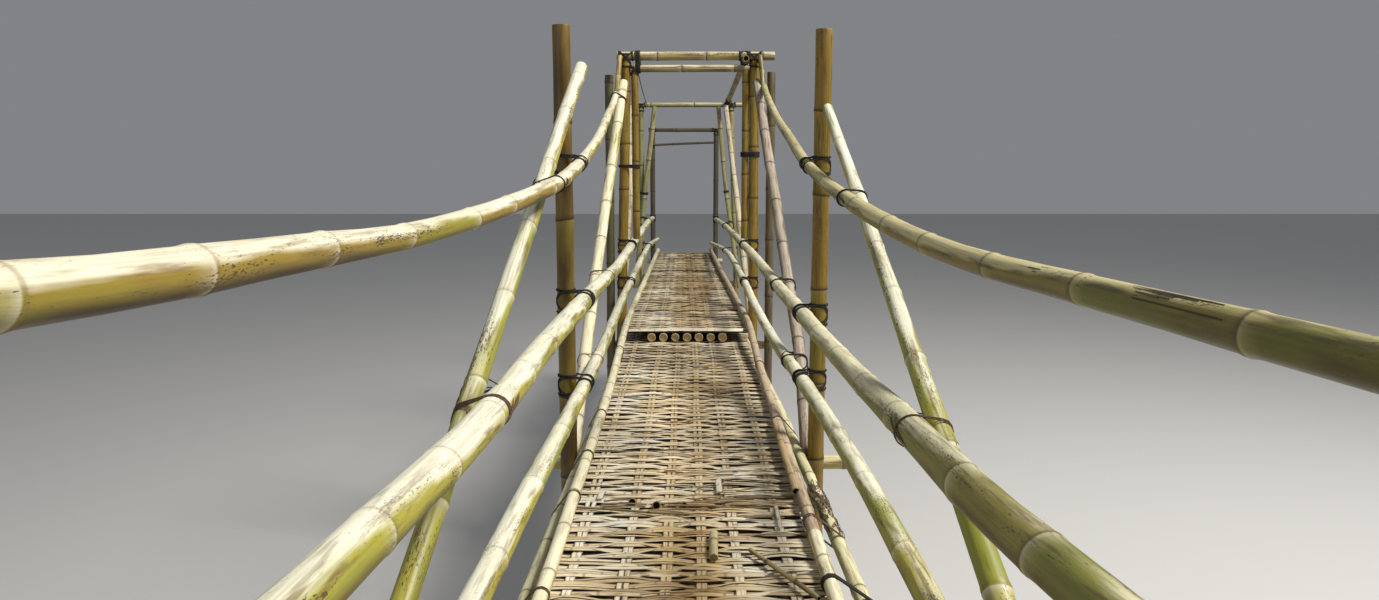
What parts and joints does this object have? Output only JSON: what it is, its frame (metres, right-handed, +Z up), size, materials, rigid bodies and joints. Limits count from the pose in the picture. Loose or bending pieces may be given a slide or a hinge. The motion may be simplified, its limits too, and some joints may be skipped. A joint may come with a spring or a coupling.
{
  "type": "bamboo footbridge",
  "caption": "Narrow footbridge of lashed bamboo culms with a woven bamboo deck, hanging handrails, slanting braces and two tower portals.",
  "frame": {"origin": "centre of the overall box in plan, on the level ground under the feet of the posts", "axes": "+Y along the walkway, +X to the right when looking along +Y, +Z up"},
  "size_m": [1.8363, 27.4038, 4.566],
  "materials": {
    "rail_bamboo": "satin",
    "post_bamboo": "satin",
    "pale_bamboo": "satin",
    "grey_bamboo": "satin",
    "dark_bamboo": "matte",
    "woven_bamboo": "matte",
    "fibre_rope": "matte"
  },
  "bodies": {
    "root": {"span_post_left_far": "post_bamboo", "span_post_right_far": "post_bamboo", "tower_post_left_far": "post_bamboo", "tower_post_right_far": "post_bamboo", "tower_side_post_left_far": "post_bamboo", "tower_side_post_right_far": "post_bamboo", "approach_post_left_far": "dark_bamboo", "approach_post_right_far": "dark_bamboo", "end_post_left_far": "dark_bamboo", "end_post_right_far": "dark_bamboo", "span_post_left_near": "post_bamboo", "span_post_right_near": "post_bamboo", "tower_post_left_near": "post_bamboo", "tower_post_right_near": "post_bamboo", "tower_side_post_left_near": "post_bamboo", "tower_side_post_right_near": "post_bamboo", "approach_post_left_near": "dark_bamboo", "approach_post_right_near": "dark_bamboo", "end_post_left_near": "dark_bamboo", "end_post_right_near": "dark_bamboo", "tower_top_beam_far": "post_bamboo", "approach_frame_far": "dark_bamboo", "end_beam_far": "dark_bamboo", "tower_top_beam_near": "post_bamboo", "approach_frame_near": "dark_bamboo", "end_beam_near": "dark_bamboo", "deck_frame_middle": "pale_bamboo", "deck_frame_far": "pale_bamboo", "deck_frame_near": "pale_bamboo", "mat_middle": "woven_bamboo", "mat_tower_far": "woven_bamboo", "mat_approach_far": "woven_bamboo", "mat_tower_near": "woven_bamboo", "mat_approach_near": "woven_bamboo", "kerb_pole_left": "pale_bamboo", "kerb_pole_right": "pale_bamboo", "top_rail_left": "rail_bamboo", "top_rail_right": "rail_bamboo", "mid_rail_left": "rail_bamboo", "mid_rail_right": "rail_bamboo", "low_rail_left": "rail_bamboo", "low_rail_right": "rail_bamboo", "span_brace_left_far": "rail_bamboo", "span_brace_right_far": "rail_bamboo", "span_brace_left_near": "rail_bamboo", "span_brace_right_near": "rail_bamboo", "tower_brace_left_far": "pale_bamboo", "tower_brace_right_far": "pale_bamboo", "tower_brace_left_near": "pale_bamboo", "tower_brace_right_near": "pale_bamboo", "approach_brace_left_far": "grey_bamboo", "approach_brace_right_far": "grey_bamboo", "approach_brace_left_near": "grey_bamboo", "approach_brace_right_near": "grey_bamboo", "tower_hanger_frame_far": "post_bamboo", "head_tie_far": "post_bamboo", "tower_hanger_frame_near": "post_bamboo", "head_tie_near": "post_bamboo"}
  },
  "joints": []
}
